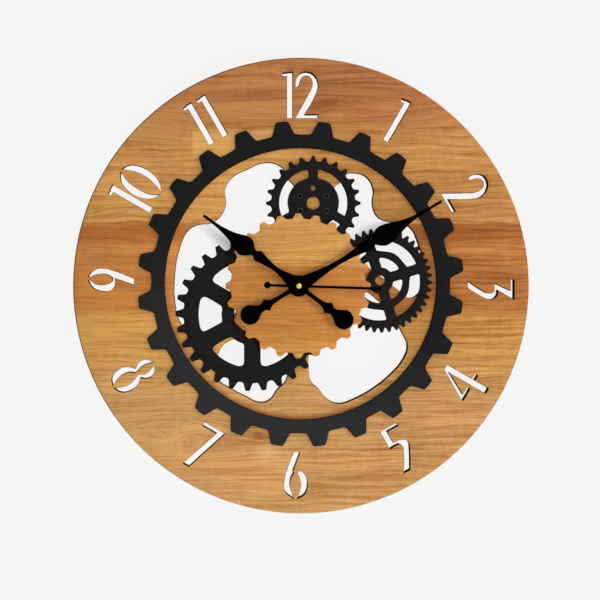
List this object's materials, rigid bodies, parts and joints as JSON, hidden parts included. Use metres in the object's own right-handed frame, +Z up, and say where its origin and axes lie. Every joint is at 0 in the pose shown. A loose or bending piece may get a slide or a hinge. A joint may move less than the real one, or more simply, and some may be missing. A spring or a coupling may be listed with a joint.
{
  "type": "wall clock",
  "caption": "Round wooden wall clock with stencilled numerals and sawn windows, black applied gears, spade hands and a quartz movement behind the dial.",
  "frame": {"origin": "the point of the back cover, on the wall, straight behind the hands' arbor", "axes": "+X to the right as seen from the front, +Y into the wall, +Z up; the dial faces -Y"},
  "size_m": [0.5, 0.0442, 0.5],
  "materials": {
    "oak": "satin, honey coloured, grain across the dial, cut edges charred",
    "charcoal_board": "matt charcoal paint",
    "black_steel": "black",
    "hand_black": "black enamel",
    "brass": "polished",
    "rubber": "matt",
    "black_plastic": "fine grain",
    "grey_plastic": "fine grain",
    "nylon": "natural white",
    "white_plastic": "off-white",
    "ferrite": "ground ferrite",
    "soft_iron": "plain",
    "copper": "enamelled copper wire",
    "spring_steel": "nickel plated",
    "circuit_green": "green lacquer",
    "battery_wrap": "printed wrap, left plain"
  },
  "bodies": {
    "clock": {"dial_disc": "oak", "centre_gear": "oak", "toothed_ring": "charcoal_board", "large_gear": "charcoal_board", "sprocket": "charcoal_board", "small_gear": "charcoal_board", "sprocket_screw_1": "black_steel", "sprocket_screw_2": "black_steel", "sprocket_screw_3": "black_steel", "sprocket_screw_4": "black_steel", "threaded_bushing": "brass", "bushing_nut": "brass", "rubber_washer": "rubber", "movement_case": "black_plastic", "back_cover": "black_plastic", "timing_chip": "black_plastic", "train_plate": "white_plastic", "stator": "soft_iron", "coil_core": "soft_iron", "coil": "copper", "plus_contact": "spring_steel", "minus_contact": "spring_steel", "crystal_can": "spring_steel", "circuit_board": "circuit_green"},
    "minute_arbor": {"centre_wheel": "nylon", "minute_hand": "hand_black", "minute_hand_nut": "brass"},
    "hour_pipe": {"hour_wheel": "nylon", "hour_hand": "hand_black"},
    "seconds_arbor": {"seconds_wheel": "nylon", "second_hand": "hand_black", "second_hand_cap": "brass"},
    "third_arbor": {"third_wheel": "nylon"},
    "idler_arbor": {"idler_wheel": "nylon"},
    "rotor_arbor": {"rotor": "ferrite"},
    "setting_arbor": {"minute_wheel": "nylon", "setting_knob": "grey_plastic"},
    "cell": {"battery": "battery_wrap"}
  },
  "joints": [
    {"name": "minute_turn", "type": "hinge", "parent": "clock", "child": "minute_arbor", "pos_m": [0, -0.01, 0], "axis": [0, 1, 0], "continuous": true},
    {"name": "hour_turn", "type": "hinge", "parent": "clock", "child": "hour_pipe", "pos_m": [0, -0.01, 0], "axis": [0, 1, 0], "continuous": true},
    {"name": "seconds_turn", "type": "hinge", "parent": "clock", "child": "seconds_arbor", "pos_m": [0, -0.01, 0], "axis": [0, 1, 0], "continuous": true},
    {"name": "third_turn", "type": "hinge", "parent": "clock", "child": "third_arbor", "pos_m": [0.01175, -0.01, 0.00428], "axis": [0, 1, 0], "continuous": true},
    {"name": "idler_turn", "type": "hinge", "parent": "clock", "child": "idler_arbor", "pos_m": [-0.01198, -0.01, 0.00321], "axis": [0, 1, 0], "continuous": true},
    {"name": "rotor_turn", "type": "hinge", "parent": "clock", "child": "rotor_arbor", "pos_m": [-0.01348, -0.01, 0.0139], "axis": [0, 1, 0], "continuous": true},
    {"name": "setting_turn", "type": "hinge", "parent": "clock", "child": "setting_arbor", "pos_m": [0, -0.01, 0.0125], "axis": [0, 1, 0], "continuous": true},
    {"name": "battery_slide", "type": "slide", "parent": "clock", "child": "cell", "axis": [0, 1, 0], "range_m": [0, 0.02]}
  ],
  "couplings": [
    {"joint": "hour_turn", "follows": "minute_turn", "ratio": 0.083333},
    {"joint": "setting_turn", "follows": "minute_turn", "ratio": -0.33333},
    {"joint": "third_turn", "follows": "minute_turn", "ratio": -7.5},
    {"joint": "seconds_turn", "follows": "minute_turn", "ratio": 60},
    {"joint": "idler_turn", "follows": "minute_turn", "ratio": -360},
    {"joint": "rotor_turn", "follows": "minute_turn", "ratio": 1800}
  ]
}
